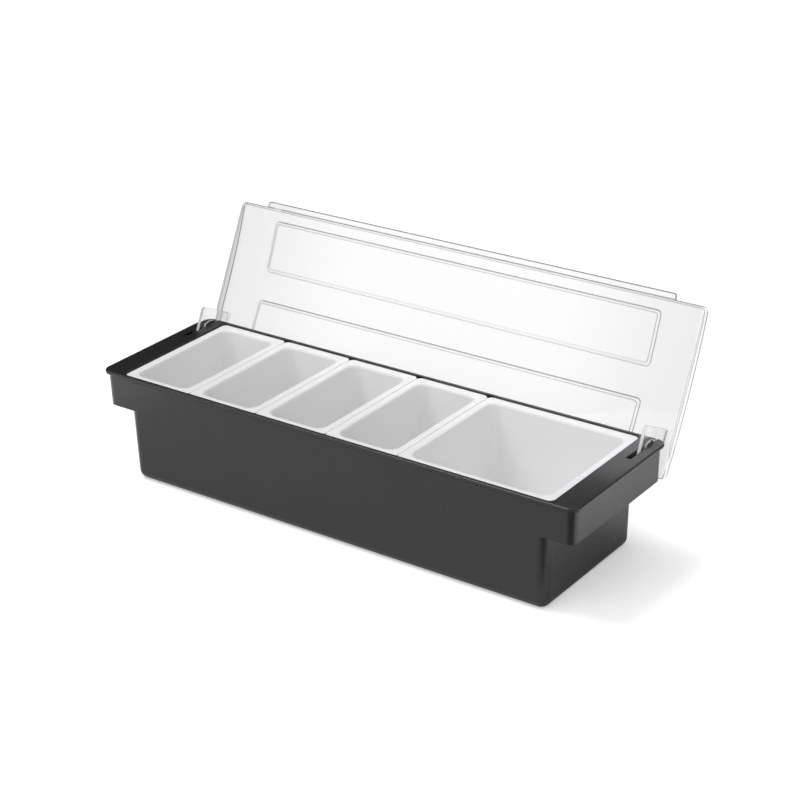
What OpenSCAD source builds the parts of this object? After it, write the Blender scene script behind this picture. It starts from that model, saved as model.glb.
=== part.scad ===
// Bar condiment caddy: a moulded trough that carries five lift-out tubs
// under one clear lid, which flips up on two hooked tabs at its ends.
// Origin: centre of the underside. +X runs along the caddy, +Y to the hinge side, +Z up.

/* [Base] */
// Length over the top rim
base_l = 500; // [480:1:560]
// Depth over the top rim, front to back
base_w = 150; // [145:1:170]
// Height to the top of the rim
base_h = 103; // [95:1:125]
// Wall thickness of the trough and the grips
base_wall = 2.2; // [1.8:0.1:2.4]
// Floor thickness of the trough
base_floor = 3; // [2:0.1:5]
// How far the rim stands out past the walls
rim_lip = 3; // [1.5:0.1:4]
// Thickness of the rim and of the end decks
rim_t = 3.3; // [2.6:0.1:4]
// Plan radius of the rim corners
rim_corner = 10; // [6:0.5:14]
// Radius rolled on the outer edge of the rim
rim_edge = 1.4; // [0.6:0.1:1.6]
// Length of each grip, measured out from the trough's end wall
grip_l = 25; // [20:0.5:30]
// Height of each grip's outer wall, from its lower edge to the deck's underside
grip_h = 31; // [22:1:40]
// Vertical corner radius of the grips
grip_corner = 8; // [4:0.5:12]
// Vertical corner radius of the trough
trough_corner = 9; // [8:0.5:14]
// Radius along the bottom edges of the trough
trough_edge = 8; // [4:0.5:8]
// Width of the rim border in front of and behind the tubs
rim_border = 3.5; // [3:0.1:6]
// Length of each end deck, from the rim's end to the tubs' recess
deck_l = 23.9; // [23:0.1:30]
// Flare that carries the rim on the outside of the walls
rim_flare = 2; // [1:0.5:2.5]
// Draft of every moulded wall, in degrees
draft = 1.1; // [0.5:0.1:2]

/* [Tubs] */
// Gap between neighbouring tub flanges
tub_gap = 0.5; // [0.3:0.1:1]
// Clearance round the row of flanges in their recess
tub_side = 0.5; // [0.3:0.1:1]
// Space for ice between the tubs and the floor of the trough
ice_h = 8.8; // [5:0.2:30]
// Wall thickness of a tub
tub_wall = 1.8; // [1.2:0.1:2]
// Width of the flange round a tub's mouth
tub_flange = 8; // [7.8:0.1:10]
// Thickness of that flange
tub_flange_t = 1.6; // [1.4:0.1:2]
// Plan radius of the flange corners
tub_corner = 5; // [4:0.5:10]
// Plan radius of a tub's mouth
mouth_corner = 9; // [8:0.5:15]
// Rounding of the mouth's edge, where the flange turns down into the tub
mouth_round = 2.4; // [1:0.2:3]
// Radius of the bottom edges inside a tub
tub_edge = 8; // [5:0.5:8]
// Number of single-width tubs to the left of the double one
single_tubs = 4; // [4]
// How far the flanges sit below the top of the rim
tub_sink = 1.2; // [0.4:0.1:1.4]

/* [Lid] */
// How far the lid's front edge stands behind the rim's
lid_set_back = 3; // [0:0.5:4]
// How much shorter the lid is than the rim, over both ends
lid_short = 1; // [0.6:0.1:4]
// Thickness of the clear panel, skirts and lip
lid_t = 2; // [1.6:0.1:2.2]
// Height of the lid over its front edge
lid_front_h = 3.2; // [2.8:0.1:5]
// Height of the lid over its rear edge
lid_rear_h = 5.2; // [5:0.1:7]
// Rise of the arched panel between those edges
lid_rise = 4; // [3.8:0.1:8]
// Plan radius of the lid corners
lid_corner = 5; // [3:0.5:8]
// How far the lid's rear edge stands behind the rim
lid_overhang = 2; // [1.6:0.1:3]
// Angle that the lid swings through from open to closed
lid_swing = 116.6; // [105:0.1:118]
// How far the finger lip stands out of the front edge
lip_out = 5.6; // [4:0.1:10]
// Distance from each end of the lid to the finger lip
lip_inset = 30.5; // [15:0.5:60]

/* [Lid panels] */
// Height of the two raised panels above the arch
panel_step = 1; // [0.5:0.1:1.4]
// Distance from the second raised panel to the lid's rear edge
panel_rear = 12.7; // [8:0.1:20]
// Distance from each end of the lid to the raised panels
panel_inset = 42; // [30:0.5:60]
// Distance from the lid's front edge to the first raised panel
panel_front = 11.3; // [8:0.1:16]
// Strip between the two raised panels
panel_between = 28; // [20:0.5:34]
// Corner radius of the raised panels
panel_corner = 4; // [3:0.5:8]
// Width of the step round each raised panel
panel_band = 2.6; // [2.2:0.1:5]

/* [Hinge] */
// Distance of the hinge axis in front of the rim's rear edge
axis_back = 12.7; // [12:0.1:13.2]
// Depth of the hinge axis below the top of the rim
axis_drop = 14.3; // [13.5:0.1:15]
// Thickness of each hooked tab
tab_t = 3; // [2:0.1:3.4]
// Distance from the rim's end to the middle of each tab
tab_inset = 12; // [10.5:0.1:13]
// Depth of each tab below the lid's seat
tab_h = 35.5; // [33:0.1:37]
// Width of the hook's leg
leg_w = 8.5; // [6:0.1:9]
// Distance from the hinge axis to the hook's front edge, with the lid closed
tab_reach = 27.3; // [26:0.1:30]
// Radius on the tab's leading corner
tab_corner = 3; // [2:0.5:5]
// Side clearance of a tab in its slot
slot_side = 0.75; // [0.4:0.05:1]
// Running clearance between the lid and whatever it swings past
swing_gap = 0.4; // [0.3:0.05:0.8]
// Width of the hinge bar left between slot and rim notch
bar_w = 9.7; // [8:0.1:10]
// Depth of the rim notch behind that bar
notch_w = 8.3; // [7:0.1:9]
// Clearance of the hook's throat round the bar
hook_gap = 1.7; // [0.5:0.1:2]
// Room left in front of the tab in its slot
slot_front = 2.8; // [0.4:0.1:4]

/* [Hidden] */
$fn = 32;
tub_fn = 24;                                // plainer corners for the tubs, which repeat
roll_fn = 16;
over = 1;                                   // overrun of a cutting solid
seat_gap = 0.3;                             // air left under what only rests
black = [0.10, 0.10, 0.105];
clear = [0.86, 0.89, 0.90, 0.35];
white = [0.90, 0.90, 0.89];

// base
slope = tan(draft);
deck_z = base_h - rim_t;                    // underside of the rim and decks
grip_z = deck_z - grip_h;                   // lower edge of the grips
wall_top_l = base_l - 2 * rim_lip;          // grip walls, where they meet the rim
wall_top_w = base_w - 2 * rim_lip;
grip_low_l = wall_top_l - 2 * grip_h * slope;
grip_low_w = wall_top_w - 2 * grip_h * slope;
trough_top_l = grip_low_l - 2 * grip_l;     // trough walls, at the grips' lower edge
trough_low_l = trough_top_l - 2 * grip_z * slope;
trough_low_w = wall_top_w - 2 * deck_z * slope;
well_low_l = trough_low_l - 2 * base_wall;
well_low_w = trough_low_w - 2 * base_wall;
well_top_l = trough_top_l + 2 * grip_h * slope - 2 * base_wall;
well_top_w = wall_top_w - 2 * base_wall;

// tubs
tubs_l = base_l - 2 * (deck_l + tub_side);
tub_pitch = tubs_l / (single_tubs + 2);     // one single-width tub
tub_len = base_w - 2 * (rim_border + tub_side);
tub_z = base_floor + ice_h;
flange_z = base_h - tub_sink - tub_flange_t;
ledge_z = flange_z - seat_gap;              // what the flanges rest on
tub_h = flange_z + tub_flange_t - tub_z;
tub_slope = slope;
tub_round = 0.5;                            // rolled edge of a tub's flange

// hinge
axis_y = base_w / 2 - axis_back;
axis_z = base_h - axis_drop;
tab_x = base_l / 2 - tab_inset;
slot_w = tab_t + 2 * slot_side;
seat_z = base_h + seat_gap;                 // plane of the skirts' free edges, lid closed
seat_r = seat_z - axis_z;                   // its distance from the hinge axis
notch_y = base_w / 2 - notch_w;             // front of the notch in the rear rim
bar_y = notch_y - bar_w;                    // rear end of the slot
// radius that the hook's throat needs to pass over the hinge bar
bar_r = max(norm([notch_y - axis_y, axis_drop]), norm([axis_y - bar_y, axis_drop]));
throat_r = bar_r + hook_gap;
bridge_r = 12.5;                            // from the axis forward to the bridge's rear end
tip_past = 1.3;                             // from the axis back to the end of the leg
// radius that the rim's rolled rear edge sweeps round the axis
edge_r = norm([axis_back - rim_edge, axis_drop - rim_edge]) + rim_edge;
sweep_r = edge_r + swing_gap;
// the tab's leading corner, and the slot's front end that lets it by
lead_r = norm([tab_reach - tab_corner, tab_h - seat_r - tab_corner]) + tab_corner;
deck_drop = axis_drop - rim_t;
slot_y = axis_y - sqrt(lead_r * lead_r - deck_drop * deck_drop) - slot_front;

// lid, in its closed position
lid_l = base_l - lid_short;
lid_rear_y = base_w / 2 + lid_overhang;
lid_front_y = lid_set_back - base_w / 2;
lid_w = lid_rear_y - lid_front_y;
panel_w = (lid_w - panel_front - panel_between - panel_rear) / 2;
lid_mid_y = (lid_front_y + lid_rear_y) / 2;
lid_mid_h = (lid_front_h + lid_rear_h) / 2;
lid_tilt = atan2(lid_rear_h - lid_front_h, lid_w);
half_chord = norm([lid_w, lid_rear_h - lid_front_h]) / 2;
arch_r = (half_chord * half_chord + lid_rise * lid_rise) / (2 * lid_rise);
arch_y = lid_mid_y + (arch_r - lid_rise) * sin(lid_tilt);
arch_z = seat_z + lid_mid_h - (arch_r - lid_rise) * cos(lid_tilt);
lid_crown = lid_mid_h + lid_rise;
panel_l = lid_l - 2 * panel_inset;
panel_1_y = lid_front_y + panel_front + panel_w / 2;
panel_2_y = panel_1_y + panel_w + panel_between;

// ---------- shared shapes ----------

// Rectangle with round corners, centred, made of exact lines and arcs
module round_rect(l, w, r) {
    square([l - 2 * r, w], center = true);
    square([l, w - 2 * r], center = true);
    for (sx = [-1, 1], sy = [-1, 1])
        translate([sx * (l / 2 - r), sy * (w / 2 - r)])
            circle(r);
}

// Prism with round vertical corners, standing on z
module round_prism(l, w, r, z, h) {
    translate([0, 0, z])
        linear_extrude(h)
            round_rect(l, w, r);
}

// Copies a child to the four corners of a rectangle
module at_corners(l, w, inset) {
    for (sx = [-1, 1], sy = [-1, 1])
        translate([sx * (l / 2 - inset), sy * (w / 2 - inset), 0])
            children();
}

// Drafted block: low and high rectangles joined by straight walls, with
// round vertical corners that may grow upwards and, if edge > 0, a rolled
// bottom edge
module drafted_block(low, high, z_low, z_high, corner, edge = 0, grow = 0) {
    sliver = 0.01;
    hull() {
        if (edge > 0) {
            translate([0, 0, z_low + edge])
                at_corners(low[0], low[1], corner)
                    rotate_extrude()
                        translate([corner - edge, 0])
                            intersection() {
                                circle(edge);
                                translate([0, -edge])
                                    square([edge, 2 * edge]);
                            }
        } else {
            translate([0, 0, z_low])
                at_corners(low[0], low[1], corner)
                    cylinder(h = sliver, r = corner);
        }
        translate([0, 0, z_high - sliver])
            at_corners(high[0], high[1], corner + grow)
                cylinder(h = sliver, r = corner + grow);
    }
}

// Slab with round corners and a rolled outer edge
module rolled_slab(l, w, t, corner, edge) {
    hull()
        at_corners(l, w, corner)
            rotate_extrude() {
                square([corner - edge, t]);
                translate([0, edge])
                    square([corner, t - 2 * edge]);
                for (z = [edge, t - edge])
                    translate([corner - edge, z])
                        intersection() {
                            circle(edge, $fn = roll_fn);
                            translate([0, -edge])
                                square([edge, 2 * edge]);
                        }
            }
}

// ---------- base ----------

// Hollow under one end deck, open below, where a hand lifts the caddy
module grip_hollow(side) {
    inner_x = trough_top_l / 2 + grip_h * slope;
    low_out = grip_low_l / 2 - base_wall;
    high_out = wall_top_l / 2 - base_wall;
    r = grip_corner - base_wall;
    sliver = 0.01;
    hull()
        for (sy = [-1, 1]) {
            translate([side * (inner_x + 1), sy * (grip_low_w / 2 - base_wall - 1), grip_z - over])
                cylinder(h = grip_h + over, r = 1);
            translate([side * (low_out - r), sy * (grip_low_w / 2 - base_wall - r), grip_z - over])
                cylinder(h = sliver, r = r);
            translate([side * (high_out - r), sy * (wall_top_w / 2 - base_wall - r), deck_z - sliver])
                cylinder(h = sliver, r = r);
        }
}

// Slot through one end deck for the lid's tab, and the notch in the rear rim
// that the tab drops into when the lid is fully open
module tab_slot(side) {
    x = side * tab_x - slot_w / 2;
    translate([x, slot_y, deck_z - over])
        cube([slot_w, bar_y - slot_y, rim_t + 2 * over]);
    translate([x, notch_y, deck_z])
        cube([slot_w, base_w / 2 - notch_y + over, rim_t + over]);
}

// Joggle in one end deck that carries the end tub's flange
module ledge_step(side) {
    inner_x = trough_top_l / 2;
    outer_x = tubs_l / 2 + tub_side + base_wall;
    half_w = wall_top_w / 2 - base_wall / 2;
    low_z = ledge_z - base_wall;
    translate([side > 0 ? inner_x : -outer_x, -half_w, low_z])
        cube([outer_x - inner_x, 2 * half_w, deck_z + rim_t / 2 - low_z]);
}

module base_outside() {
    flare_l = wall_top_l + 2 * rim_flare;
    flare_w = wall_top_w + 2 * rim_flare;
    drafted_block(
        [trough_low_l, trough_low_w], [trough_top_l, grip_low_w],
        0, grip_z, trough_corner, trough_edge);
    drafted_block(
        [grip_low_l, grip_low_w], [wall_top_l, wall_top_w],
        grip_z, deck_z, grip_corner);
    drafted_block(
        [wall_top_l, wall_top_w], [flare_l, flare_w],
        deck_z - rim_flare, deck_z, grip_corner);
    translate([0, 0, deck_z])
        rolled_slab(base_l, base_w, rim_t, rim_corner, rim_edge);
}

module base() {
    color(black)
        difference() {
            union() {
                difference() {
                    base_outside();
                    for (side = [-1, 1])
                        grip_hollow(side);
                }
                for (side = [-1, 1])
                    ledge_step(side);
            }
            drafted_block(
                [well_low_l, well_low_w], [well_top_l, well_top_w],
                base_floor, base_h + over, trough_corner - base_wall, trough_edge - base_wall);
            round_prism(
                tubs_l + 2 * tub_side, tub_len + 2 * tub_side, tub_corner + tub_side,
                ledge_z, base_h - ledge_z + over);
            for (side = [-1, 1])
                tab_slot(side);
        }
}

// ---------- tubs ----------

// Cuts the mouth's edge round, as two chamfers that follow a quarter circle
module mouth_cut(mouth_l, mouth_w, top_z) {
    knee = mouth_round * (1 - sqrt(0.5));
    rest = mouth_round - knee;
    run_on = 0.02;                          // carries the upper cut past the flange
    drafted_block(
        [mouth_l, mouth_w], [mouth_l + 2 * knee, mouth_w + 2 * knee],
        top_z - mouth_round, top_z - knee + run_on, mouth_corner, 0, knee);
    drafted_block(
        [mouth_l + 2 * knee, mouth_w + 2 * knee],
        [mouth_l + 2 * mouth_round, mouth_w + 2 * mouth_round],
        top_z - knee, top_z + run_on, mouth_corner + knee, 0, rest);
}

// One tub of a given number of pitches, its flange centred on x
module tub(pitches) {
    flange_l = pitches * tub_pitch - tub_gap;
    mouth_l = flange_l - 2 * tub_flange;
    mouth_w = tub_len - 2 * tub_flange;
    depth = tub_h - tub_wall;
    inner_low_l = mouth_l - 2 * depth * tub_slope;
    inner_low_w = mouth_w - 2 * depth * tub_slope;
    top_z = tub_z + tub_h;
    difference() {
        union() {
            translate([0, 0, flange_z])
                rolled_slab(flange_l, tub_len, tub_flange_t, tub_corner, tub_round, $fn = tub_fn);
            drafted_block(
                [inner_low_l + 2 * tub_wall, inner_low_w + 2 * tub_wall],
                [mouth_l + 2 * tub_wall, mouth_w + 2 * tub_wall],
                tub_z, flange_z + tub_flange_t / 2, mouth_corner + tub_wall, tub_edge + tub_wall,
                $fn = tub_fn);
        }
        drafted_block(
            [inner_low_l, inner_low_w], [mouth_l, mouth_w],
            tub_z + tub_wall, top_z + over / 4, mouth_corner, tub_edge, $fn = tub_fn);
        mouth_cut(mouth_l, mouth_w, top_z, $fn = tub_fn);
    }
}

// Middle of a tub that starts after a number of pitches from the left end
function tub_x(first, pitches) = (first + pitches / 2) * tub_pitch - tubs_l / 2;

module single_tub(place) {
    color(white)
        translate([tub_x(place - 1, 1), 0, 0])
            tub(1);
}

module tub_double() {
    color(white)
        translate([tub_x(single_tubs, 2), 0, 0])
            tub(2);
}

// ---------- lid, drawn closed and then swung open ----------

// Everything below an arch surface lowered by a depth
module under_arch(depth) {
    translate([0, arch_y, arch_z])
        rotate([0, 90, 0])
            cylinder(h = lid_l + 2 * over, r = arch_r - depth, center = true, $fn = 720);
}

// Upright prism over the lid's plan, inset all round
module lid_plan(inset, low, high) {
    translate([0, lid_mid_y, 0])
        round_prism(
            lid_l - 2 * inset, lid_w - 2 * inset, lid_corner - inset,
            low, high - low);
}

// One raised panel's plan, shrunk by an inset
module panel_plan(y, inset, low, high) {
    translate([0, y, 0])
        round_prism(
            panel_l - 2 * inset, panel_w - 2 * inset, panel_corner - inset / 2,
            low, high - low);
}

// Solid bounded by the raised panels' plans and a lowered arch
module panel_blocks(inset, depth, low) {
    top = seat_z + lid_crown + panel_step + over;
    for (y = [panel_1_y, panel_2_y])
        intersection() {
            panel_plan(y, inset, low, top);
            under_arch(depth);
        }
}

// Arched panel with skirts all round but the rear, where it swings past the rim
module lid_shell() {
    top = seat_z + lid_crown + over;
    difference() {
        union() {
            intersection() {
                lid_plan(0, seat_z, top);
                under_arch(0);
            }
            panel_blocks(0, -panel_step, seat_z + lid_front_h);
        }
        intersection() {
            union() {
                lid_plan(lid_t, seat_z - over, top);
                translate([-lid_l / 2 + lid_t, lid_mid_y, seat_z - over])
                    cube([lid_l - 2 * lid_t, lid_w / 2 + over, lid_crown + over]);
            }
            under_arch(lid_t);
        }
        panel_blocks(panel_band, lid_t - panel_step, seat_z);
    }
}

// Finger lip along the front edge
module finger_lip() {
    lip_l = lid_l - 2 * lip_inset;
    translate([0, lid_front_y, 0])
        difference() {
            round_prism(lip_l, 2 * lip_out, lid_corner - lid_t, seat_z, lid_t);
            translate([-lip_l / 2 - over, lid_t, seat_z - over])
                cube([lip_l + 2 * over, lip_out + over, lid_t + 2 * over]);
        }
}

// Side view of a hooked tab in (y, z): a bridge that passes over the hinge bar
// and a leg that turns in under the deck
module tab_outline() {
    front = axis_y - tab_reach;
    foot = seat_z - tab_h;
    throat_z = foot + leg_w;
    leg_end = axis_y + tip_past;
    top = seat_z + lid_crown;
    bridge_end = axis_y - bridge_r;
    difference() {
        union() {
            translate([front, foot + tab_corner])
                square([bridge_end - front, top - foot - tab_corner]);
            translate([front + tab_corner, foot])
                square([leg_end - leg_w / 2 - front - tab_corner, leg_w]);
            translate([front + tab_corner, foot + tab_corner])
                circle(tab_corner);
            translate([leg_end - leg_w / 2, foot + leg_w / 2])
                circle(leg_w / 2);
        }
        intersection() {
            translate([axis_y, axis_z])
                circle(throat_r, $fn = 96);
            translate([axis_y - 2 * throat_r, throat_z])
                square([4 * throat_r, 2 * throat_r]);
        }
    }
}

module hooked_tab(side) {
    intersection() {
        translate([side * tab_x - tab_t / 2, 0, 0])
            rotate([90, 0, 90])
                linear_extrude(tab_t)
                    tab_outline();
        under_arch(lid_t / 2);
    }
}

module closed_lid() {
    difference() {
        union() {
            lid_shell();
            finger_lip();
        }
        // keeps the rear of the lid clear of the rim's rear edge as it swings
        translate([0, axis_y, axis_z])
            rotate([0, 90, 0])
                cylinder(h = lid_l + 2 * over, r = sweep_r, center = true, $fn = 180);
    }
    for (side = [-1, 1])
        hooked_tab(side);
}

module lid() {
    color(clear)
        translate([0, axis_y, axis_z])
            rotate([-lid_swing, 0, 0])
                translate([0, -axis_y, -axis_z])
                    closed_lid();
}

base();
lid();
single_tub(1);  // tub_1
single_tub(2);  // tub_2
single_tub(3);  // tub_3
single_tub(4);  // tub_4
tub_double();
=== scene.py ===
import math

import bpy
from mathutils import Matrix, Vector


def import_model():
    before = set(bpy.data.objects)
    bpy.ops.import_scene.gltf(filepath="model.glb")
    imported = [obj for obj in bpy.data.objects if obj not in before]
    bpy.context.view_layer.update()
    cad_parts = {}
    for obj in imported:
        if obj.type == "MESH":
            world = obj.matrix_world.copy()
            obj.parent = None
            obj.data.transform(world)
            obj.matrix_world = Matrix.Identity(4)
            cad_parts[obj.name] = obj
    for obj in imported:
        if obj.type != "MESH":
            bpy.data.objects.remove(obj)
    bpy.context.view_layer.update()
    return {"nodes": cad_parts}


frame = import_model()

MM = 0.001

# The lid as it stands at rest, in metres. Its ends are measured along X from the
# caddy's middle, and its heights and depths along and across its own lean.
LEAN = math.radians(26.6)       # how far it leans back
LID_END = 0.2495                # outer face of the end skirts
LID_TOP = 0.2415                # height of the wall along its top
LIP_TOP = 0.2471                # height of the finger lip's edge
CROWN_MIDDLE = 0.158            # height at which the arched panel is deepest
CROWN_DEPTH = 0.0388            # depth of its outer face there
CROWN_CURVE = 0.703             # it falls by this times the distance squared
PANEL_END = 0.2075              # ends of the two raised panels
PANEL_LOWER = (0.1052, 0.1537)  # height of the lower one's edges
PANEL_UPPER = (0.1817, 0.2302)  # and of the upper one's
HALF_STEP = 0.0013              # half the width of the step round each
TAB_MIDDLE = 0.238              # middle of each hooked tab's thickness
TAB_HALF = 0.0018               # half of that thickness, and 0.3 mm to spare
TAB_RISE = (0.0904, 0.1220)     # lowest and highest Z of a tab, and 0.6 mm to spare
TAB_REAR = 0.086                # Y up to which a tab stands clear of the panel

# Where the clear plastic changes, each from one place to another on the lid
PAINTED_SHADE_FROM_MIDDLE = (0.10, 0.25)                         # painted grey shade grows from here to here
PAINTED_SHADE_ENDS = (LID_END - 0.0065, LID_END - 0.0025)        # and stops at the right end
STRAIGHT_END = (LID_END - 0.0033, LID_END - 0.0027)     # light passes straight from here
FAINT_END = (LID_END - 0.0055, LID_END - 0.0015)        # painted shade lines are faint from here
END_RIM = (LID_END - 0.0009, LID_END - 0.0005)          # thin rim of the right end
CROWN_RIM = (CROWN_DEPTH - 0.0026, CROWN_DEPTH - 0.0018)    # and of the panel's wall there
LIP_RIM = (LIP_TOP - 0.0013, LIP_TOP - 0.0005)
TOP_RIM = (LID_TOP - 0.0012, LID_TOP - 0.0008)
TOP_WALL_INSIDE = (LID_TOP - 0.0042, LID_TOP - 0.0012)
LEFT_STEPS = (-PANEL_END - 0.004, -PANEL_END + 0.004)   # left ends of the steps
BESIDE_TAB = (TAB_MIDDLE - 0.0035, TAB_MIDDLE + 0.0035)
BESIDE_TAB_TOP = TAB_RISE[1] + 0.0005
SKIRT_INSIDE = LID_END - 0.0075                         # inner side of the end skirts

# How dark its painted shade lines are, from 0 to 1
SHADE_LINE_DOWN, SHADE_LINE_UP = 0.85, 0.42     # where an edge turns down, and up
SHADE_LINE_TOP = 0.8                      # least along the top
SHADE_LINE_LIP = 0.45
SHADE_LINE_END = (0.4, 0.7)               # rim of the right end, low and high on the lid
FADE_SIDEWAYS = 0.6                 # times this on faces that look along X
FADE_INSIDE = 0.45                  # at the inner edges of steps and top wall
FADE_LEFT = 0.6                     # at the left ends of the steps
FADE_END = (0.4, 0.6)               # at the right end, low and high on the lid
FADE_TAB = 0.25                     # on and beside the tabs

# How strongly the floor shines by itself, so that it shows white, and as a painted pool of light
GLOW = 0.37                     # to the eye
GLOW_FAR = 0.22                 # to the eye, well behind the caddy
GLOW_THROUGH = 0.18             # through the lid
PAINTED_POOL_GLOW = 0.5                 # a painted pool of light, seen only in reflections past the ends of the caddy

# The photo's camera
FRAME_PX = 800
FOCAL_PX = 2041.83
SENSOR_MM = 36.0
EYE_MM = (960.48, -1293.3, 844.9)
EYE_AZIMUTH = math.radians(35.745)
EYE_ELEVATION = math.radians(24.639)
EYE_ROLL = -0.018246


# ---------- node helpers ----------

def new_material(name):
    mat = bpy.data.materials.new(name)
    mat.use_nodes = True
    return mat, mat.node_tree, mat.node_tree.nodes["Principled BSDF"]


def add(tree, kind, **values):
    node = tree.nodes.new(kind)
    for key, value in values.items():
        setattr(node, key, value)
    return node


def noise(tree, vector, scale, detail):
    node = add(tree, "ShaderNodeTexNoise")
    node.inputs["Scale"].default_value = scale
    node.inputs["Detail"].default_value = detail
    node.inputs["Roughness"].default_value = 0.5
    tree.links.new(vector, node.inputs["Vector"])
    return node.outputs["Fac"]


def ramp(tree, fac, low, high, start=0.3, stop=0.7):
    """A colour that runs from low to high between two values of fac."""
    node = add(tree, "ShaderNodeValToRGB")
    for element, position, colour in zip(node.color_ramp.elements, (start, stop), (low, high)):
        element.position = position
        element.color = (*colour, 1)
    tree.links.new(fac, node.inputs["Fac"])
    return node.outputs["Color"]


def maths(tree, operation, *values):
    """A Math node fed with sockets or numbers."""
    node = add(tree, "ShaderNodeMath", operation=operation)
    for n, value in enumerate(values):
        if isinstance(value, (int, float)):
            node.inputs[n].default_value = value
        else:
            tree.links.new(value, node.inputs[n])
    return node.outputs["Value"]


def times(tree, first, *others):
    """The product of its values."""
    for value in others:
        first = maths(tree, "MULTIPLY", first, value)
    return first


def most(tree, first, *others):
    """The largest of its values."""
    for value in others:
        first = maths(tree, "MAXIMUM", first, value)
    return first


def lack(tree, value):
    """What a value falls short of 1."""
    return maths(tree, "SUBTRACT", 1.0, value)


def within(tree, value, low, high):
    """1 from low to high, and 0 elsewhere."""
    return maths(tree, "COMPARE", value, (low + high) / 2, (high - low) / 2)


def remap(tree, value, start, stop, low=0.0, high=1.0, smooth=False):
    """Runs from low to high as a value goes from start to stop, and no further."""
    node = add(tree, "ShaderNodeMapRange")
    node.interpolation_type = "SMOOTHSTEP" if smooth else "LINEAR"
    node.inputs["From Min"].default_value = start
    node.inputs["From Max"].default_value = stop
    node.inputs["To Min"].default_value = low
    node.inputs["To Max"].default_value = high
    tree.links.new(value, node.inputs["Value"])
    return node.outputs["Result"]


def spread(tree, value, low, high):
    """A value of 0 to 1 carried to low to high."""
    return remap(tree, value, 0.0, 1.0, low, high)


def faded(tree, share, mask, factor):
    """A share that is multiplied by a factor where the mask is 1."""
    return times(tree, share, spread(tree, mask, 1.0, factor))


def axes(tree, vector):
    node = add(tree, "ShaderNodeSeparateXYZ")
    tree.links.new(vector, node.inputs["Vector"])
    return node.outputs["X"], node.outputs["Y"], node.outputs["Z"]


def dot_product(tree, first):
    """A node for the dot product of a vector and its own second input."""
    node = add(tree, "ShaderNodeVectorMath", operation="DOT_PRODUCT")
    tree.links.new(first, node.inputs[0])
    return node


def rounded_normal(tree, radius, samples):
    """The surface's normal, turned near its edges as if they were rounded."""
    bevel = add(tree, "ShaderNodeBevel", samples=samples)
    bevel.inputs["Radius"].default_value = radius
    return bevel.outputs["Normal"]


def soft_bump(tree, bsdf, height, strength, distance, edge=0.0):
    """Fine relief, on edges that are rounded by the radius given as edge."""
    bump = add(tree, "ShaderNodeBump")
    bump.inputs["Strength"].default_value = strength
    bump.inputs["Distance"].default_value = distance
    tree.links.new(height, bump.inputs["Height"])
    if edge:
        tree.links.new(rounded_normal(tree, edge, 4), bump.inputs["Normal"])
    tree.links.new(bump.outputs["Normal"], bsdf.inputs["Normal"])


def shader(tree, kind, colour):
    """A diffuse or transparent shader of a fixed colour, or of a socket's."""
    node = add(tree, kind)
    if isinstance(colour, tuple):
        node.inputs["Color"].default_value = (*colour, 1)
    else:
        tree.links.new(colour, node.inputs["Color"])
    return node.outputs["BSDF"]


def blend(tree, share, first, second):
    """The first shader, with a share of the second."""
    node = add(tree, "ShaderNodeMixShader")
    tree.links.new(share, node.inputs["Fac"])
    tree.links.new(first, node.inputs[1])
    tree.links.new(second, node.inputs[2])
    return node.outputs["Shader"]


# ---------- plastics ----------

def moulded_plastic(name, shades, shine, grain, clouds, relief, edge, ior, matt_top=0.0):
    """Solid plastic. shades and shine are the ends of its colour and roughness, grain
    and clouds the scales of its fine and wide patterns, relief the grain's strength and
    height, edge the radius of its edges, and matt_top the roughness added where it
    faces up."""
    mat, tree, bsdf = new_material(name)
    place = add(tree, "ShaderNodeTexCoord").outputs["Object"]
    fine = noise(tree, place, grain, 3.0)
    wide = noise(tree, place, clouds, 3.0)
    tree.links.new(ramp(tree, wide, *shades), bsdf.inputs["Base Color"])
    rough = spread(tree, wide, *shine)
    if matt_top:
        face = add(tree, "ShaderNodeNewGeometry").outputs["Normal"]
        matt = remap(tree, axes(tree, face)[2], 0.8, 0.95, high=matt_top)
        rough = maths(tree, "ADD", rough, matt)
    tree.links.new(rough, bsdf.inputs["Roughness"])
    bsdf.inputs["IOR"].default_value = ior
    soft_bump(tree, bsdf, fine, *relief, edge)
    return mat


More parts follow.
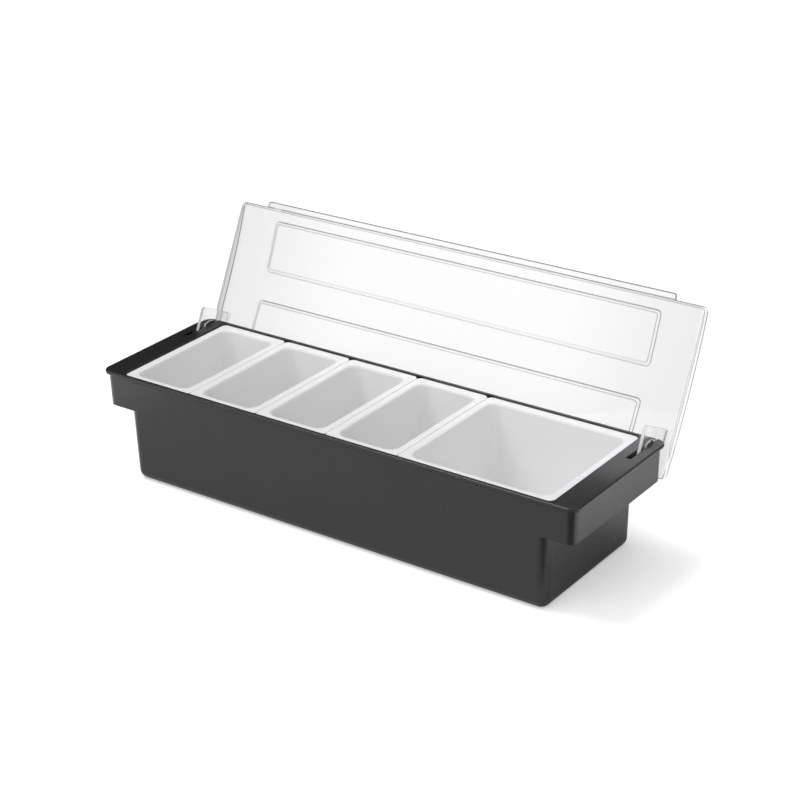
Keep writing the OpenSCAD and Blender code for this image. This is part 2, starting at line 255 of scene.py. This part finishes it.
def clear_plastic():
    mat, tree, bsdf = new_material("clear_plastic")
    place = add(tree, "ShaderNodeTexCoord").outputs["Object"]
    face = add(tree, "ShaderNodeNewGeometry").outputs["Normal"]
    rounded = rounded_normal(tree, 0.0018, 8)
    cloud = noise(tree, place, 9.0, 2.0)
    x, y, z = axes(tree, place)
    out = maths(tree, "ABSOLUTE", x)
    sideways = maths(tree, "GREATER_THAN", maths(tree, "ABSOLUTE", axes(tree, face)[0]), 0.7)
    tab = times(
        tree, within(tree, out, TAB_MIDDLE - TAB_HALF, TAB_MIDDLE + TAB_HALF),
        within(tree, z, *TAB_RISE), maths(tree, "LESS_THAN", y, TAB_REAR))

    # painted grey shade towards the ends, most on the left skirt and none at the right end, over
    # the clear plastic's faint tint
    painted_end_shade = remap(tree, out, *PAINTED_SHADE_FROM_MIDDLE, smooth=True)
    painted_end_shade = times(tree, painted_end_shade, remap(tree, x, *PAINTED_SHADE_ENDS, 0.7, 0.0))
    painted_end_shade = faded(tree, painted_end_shade, tab, 0.6)
    painted_skirt_shade = times(tree, sideways, maths(tree, "LESS_THAN", x, -SKIRT_INSIDE))
    painted_end_shade = most(tree, painted_end_shade, painted_skirt_shade)
    tint_and_painted_shade = ramp(tree, painted_end_shade, (0.975, 0.975, 0.976), (0.78, 0.78, 0.782), 0.0, 1.0)
    tree.links.new(tint_and_painted_shade, bsdf.inputs["Base Color"])
    tree.links.new(spread(tree, cloud, 0.01, 0.03), bsdf.inputs["Roughness"])
    bsdf.inputs["IOR"].default_value = 1.49
    bsdf.inputs["Transmission Weight"].default_value = 1.0
    soft_bump(tree, bsdf, cloud, 0.05, 0.0004)

    # a faint haze, which shows over dark things, and far more of it on the tabs' thin edges as a
    # painted highlight of the light those edges pick up
    haze = shader(tree, "ShaderNodeBsdfDiffuse", (0.85, 0.855, 0.86))
    haze_and_painted_highlight = spread(tree, times(tree, tab, lack(tree, sideways)), 0.04, 0.6)
    look = blend(tree, haze_and_painted_highlight, bsdf.outputs["BSDF"], haze)

    # light passes straight on near an edge, as it would through a rounded one
    dot = dot_product(tree, rounded)
    tree.links.new(face, dot.inputs[1])
    flat = dot.outputs["Value"]
    near = most(tree, remap(tree, flat, 0.9998, 0.995), remap(tree, out, *STRAIGHT_END))
    near = times(tree, near, lack(tree, tab))
    look = blend(tree, near, look, shader(tree, "ShaderNodeBsdfTransparent", tint_and_painted_shade))

    # painted shade: a grey line along the edges, where rounded clear edges would refract the dark
    painted_edge_shade = shader(tree, "ShaderNodeBsdfDiffuse", (0.16, 0.16, 0.162))
    painted_edge_shade_mask = times(
        tree, remap(tree, flat, 0.993, 0.91), painted_shade_line_share(tree, x, y, z, face, rounded, sideways))
    painted_edge_shade_mask = most(tree, painted_outline_shade_share(tree, x, y, z, sideways), painted_edge_shade_mask)
    look = blend(tree, painted_edge_shade_mask, look, painted_edge_shade)

    # most light goes through to what stands behind
    shade = shader(tree, "ShaderNodeBsdfTransparent", (0.93, 0.935, 0.94))
    shadow = add(tree, "ShaderNodeLightPath").outputs["Is Shadow Ray"]
    look = blend(tree, shadow, look, shade)
    tree.links.new(look, tree.nodes["Material Output"].inputs["Surface"])
    return mat


def lid_height(tree, y, z):
    return maths(tree, "ADD", times(tree, y, math.sin(LEAN)), times(tree, z, math.cos(LEAN)))


def lid_depth(tree, y, z):
    return maths(
        tree, "SUBTRACT", times(tree, y, math.cos(LEAN)), times(tree, z, math.sin(LEAN)))


def painted_outline_shade_share(tree, x, y, z, sideways):
    """How dark the painted shade on the lid's own outline is: the lip's edge, and the thin right
    end of the panel, which follows the crown and is darker higher up."""
    height = lid_height(tree, y, z)
    far = maths(tree, "SUBTRACT", height, CROWN_MIDDLE)
    crown = times(tree, maths(tree, "POWER", far, 2.0), CROWN_CURVE)
    depth = maths(tree, "ADD", lid_depth(tree, y, z), crown)
    end = times(
        tree, sideways, remap(tree, x, *END_RIM), remap(tree, depth, *CROWN_RIM),
        remap(tree, z, 0.10, 0.205, *SHADE_LINE_END))
    return most(tree, end, remap(tree, height, *LIP_RIM, high=SHADE_LINE_LIP))


def painted_shade_line_share(tree, x, y, z, face, rounded, sideways):
    """How dark the painted shade line along a moulded edge is."""
    out = maths(tree, "ABSOLUTE", x)
    height = lid_height(tree, y, z)
    # painted shade, darker where an edge turns down than where it turns up, and along the top
    tilt = maths(tree, "SUBTRACT", axes(tree, rounded)[2], axes(tree, face)[2])
    share = remap(tree, tilt, -0.15, 0.15, SHADE_LINE_DOWN, SHADE_LINE_UP)
    share = most(tree, share, remap(tree, height, *TOP_RIM, high=SHADE_LINE_TOP))
    share = faded(tree, share, sideways, FADE_SIDEWAYS)
    # fainter at the inner edge of the steps round the panels, and of the top wall
    inner = most(tree, *(
        within(tree, height, low + HALF_STEP, high - HALF_STEP)
        for low, high in (PANEL_UPPER, PANEL_LOWER)))
    inner = times(tree, inner, maths(tree, "LESS_THAN", out, PANEL_END - HALF_STEP))
    inner = most(tree, inner, within(tree, height, *TOP_WALL_INSIDE))
    share = faded(tree, share, inner, FADE_INSIDE)
    # fainter at the left ends of those steps
    share = faded(tree, share, within(tree, x, *LEFT_STEPS), FADE_LEFT)
    # fainter at the lid's right end, most of all low down
    faint = remap(tree, z, 0.14, 0.205, *FADE_END)
    past = remap(tree, x, *FAINT_END)
    share = times(tree, share, lack(tree, times(tree, past, lack(tree, faint))))
    # hardly any on and beside the tabs
    by_tab = times(
        tree, within(tree, out, *BESIDE_TAB), maths(tree, "LESS_THAN", z, BESIDE_TAB_TOP))
    return faded(tree, share, by_tab, FADE_TAB)


def dress(mat, *names):
    for name in names:
        obj = frame["nodes"][name]
        if not obj.material_slots:
            obj.data.materials.append(mat)
        for slot in obj.material_slots:
            slot.material = mat


dress(moulded_plastic(
    "black_plastic", shades=((0.0065, 0.0065, 0.0068), (0.0085, 0.0085, 0.0088)),
    shine=(0.24, 0.30), grain=1600.0, clouds=14.0, relief=(0.2, 0.00005), edge=0.0010,
    ior=1.6, matt_top=0.07), "base")
dress(moulded_plastic(
    "white_plastic", shades=((0.93, 0.93, 0.932), (0.945, 0.945, 0.947)),
    shine=(0.28, 0.38), grain=900.0, clouds=11.0, relief=(0.12, 0.00004), edge=0.0006,
    ior=1.48), "tub_1", "tub_2", "tub_3", "tub_4", "tub_double")
dress(clear_plastic(), "lid")


# ---------- studio ----------

def floor():
    mat, tree, bsdf = new_material("floor_white")
    place = add(tree, "ShaderNodeNewGeometry").outputs["Position"]
    x, y, _ = axes(tree, place)
    path = add(tree, "ShaderNodeLightPath").outputs
    # a ray through the lid counts as glossy too, so a reflected one is glossy alone
    mirror = maths(tree, "GREATER_THAN", path["Is Glossy Ray"], path["Is Transmission Ray"])

    # painted shade on the floor, seen only in reflections: darker in front of the caddy, most of
    # all at the right
    painted_reflection_shade = maths(
        tree, "ADD", remap(tree, x, -0.25, 0.21, 0.03, 0.22),
        remap(tree, x, 0.21, 0.27, high=0.78, smooth=True))
    painted_reflection_shade = times(tree, painted_reflection_shade, remap(tree, y, -0.08, -0.12, smooth=True))
    white = ramp(tree, noise(tree, place, 3.0, 2.0), (0.965,) * 3, (0.975,) * 3)
    painted_reflection_tint = add(tree, "ShaderNodeMix", data_type="RGBA")
    tree.links.new(times(tree, painted_reflection_shade, mirror), painted_reflection_tint.inputs["Factor"])
    tree.links.new(white, painted_reflection_tint.inputs["A"])
    painted_reflection_tint.inputs["B"].default_value = (0.3, 0.3, 0.3, 1)
    tree.links.new(painted_reflection_tint.outputs["Result"], bsdf.inputs["Base Color"])
    bsdf.inputs["Roughness"].default_value = 0.9
    bsdf.inputs["Specular IOR Level"].default_value = 0.0

    # its own light, to the eye and through the lid, and a painted pool of light in reflections
    seen = times(
        tree, path["Is Camera Ray"], remap(tree, y, 0.15, 0.25, GLOW, GLOW_FAR, smooth=True))
    through = times(tree, path["Is Transmission Ray"], GLOW_THROUGH)
    past = maths(tree, "ABSOLUTE", x)
    painted_light_pool = times(
        tree, remap(tree, past, 0.29, 0.38, high=PAINTED_POOL_GLOW, smooth=True), lack(tree, painted_reflection_shade), mirror)
    tree.links.new(most(tree, seen, through, painted_light_pool), bsdf.inputs["Emission Strength"])
    bsdf.inputs["Emission Color"].default_value = (1, 1, 1, 1)

    bpy.ops.mesh.primitive_plane_add(size=12, location=(0, 0, 0))
    plane = bpy.context.object
    plane.name = "floor"
    plane.data.materials.append(mat)


def world(dim, bright, towards):
    """Room light that is dim behind the caddy and bright towards one direction. The
    eye sees it as white, and what is seen through the lid is part of the way there."""
    studio = bpy.data.worlds.new("studio")
    bpy.context.scene.world = studio
    studio.use_nodes = True
    tree = studio.node_tree
    dot = dot_product(tree, add(tree, "ShaderNodeTexCoord").outputs["Generated"])
    dot.inputs[1].default_value = Vector(towards).normalized()
    room = remap(tree, dot.outputs["Value"], -0.6, 0.9, dim, bright, smooth=True)
    path = add(tree, "ShaderNodeLightPath").outputs
    through = times(tree, path["Is Transmission Ray"], 0.4)
    level = add(tree, "ShaderNodeMix", data_type="FLOAT")
    tree.links.new(most(tree, path["Is Camera Ray"], through), level.inputs["Factor"])
    tree.links.new(room, level.inputs["A"])
    level.inputs["B"].default_value = 1.0
    back = tree.nodes["Background"]
    back.inputs["Color"].default_value = (1, 1, 1, 1)
    tree.links.new(level.outputs["Result"], back.inputs["Strength"])


def new_object(name, data):
    obj = bpy.data.objects.new(name, data)
    bpy.context.collection.objects.link(obj)
    return obj


def sun(name, azimuth, elevation, angle, strength):
    """A wide soft lamp: azimuth 0 stands in front of the caddy, 90 at its right."""
    data = bpy.data.lights.new(name, "SUN")
    data.angle = math.radians(angle)
    data.energy = strength
    obj = new_object(name, data)
    a, e = math.radians(azimuth), math.radians(elevation)
    place = Vector((math.sin(a) * math.cos(e), -math.cos(a) * math.cos(e), math.sin(e)))
    obj.location = place * 2
    obj.rotation_euler = (-place).to_track_quat("-Z", "Y").to_euler()


def camera():
    a, e = EYE_AZIMUTH, EYE_ELEVATION
    ahead = Vector((-math.sin(a) * math.cos(e), math.cos(a) * math.cos(e), -math.sin(e)))
    level = Vector((math.cos(a), math.sin(a), 0))
    upright = level.cross(ahead)
    right = math.cos(EYE_ROLL) * level + math.sin(EYE_ROLL) * upright
    up = -math.sin(EYE_ROLL) * level + math.cos(EYE_ROLL) * upright
    data = bpy.data.cameras.new("camera")
    data.sensor_width = SENSOR_MM
    data.lens = FOCAL_PX / FRAME_PX * SENSOR_MM
    data.clip_end = 20.0
    obj = new_object("camera", data)
    turn = Matrix((right, up, -ahead)).transposed().to_4x4()
    obj.matrix_world = Matrix.Translation(Vector(EYE_MM) * MM) @ turn
    bpy.context.scene.camera = obj


floor()
world(dim=0.06, bright=0.72, towards=(0.45, -0.7, 0.6))
sun("box", azimuth=-72, elevation=64, angle=20, strength=0.9)
sun("top", azimuth=-120, elevation=72, angle=40, strength=0.15)
sun("front", azimuth=-10, elevation=45, angle=50, strength=0.4)
camera()
bpy.context.scene.view_settings.view_transform = "Standard"

bpy.context.view_layer.update()
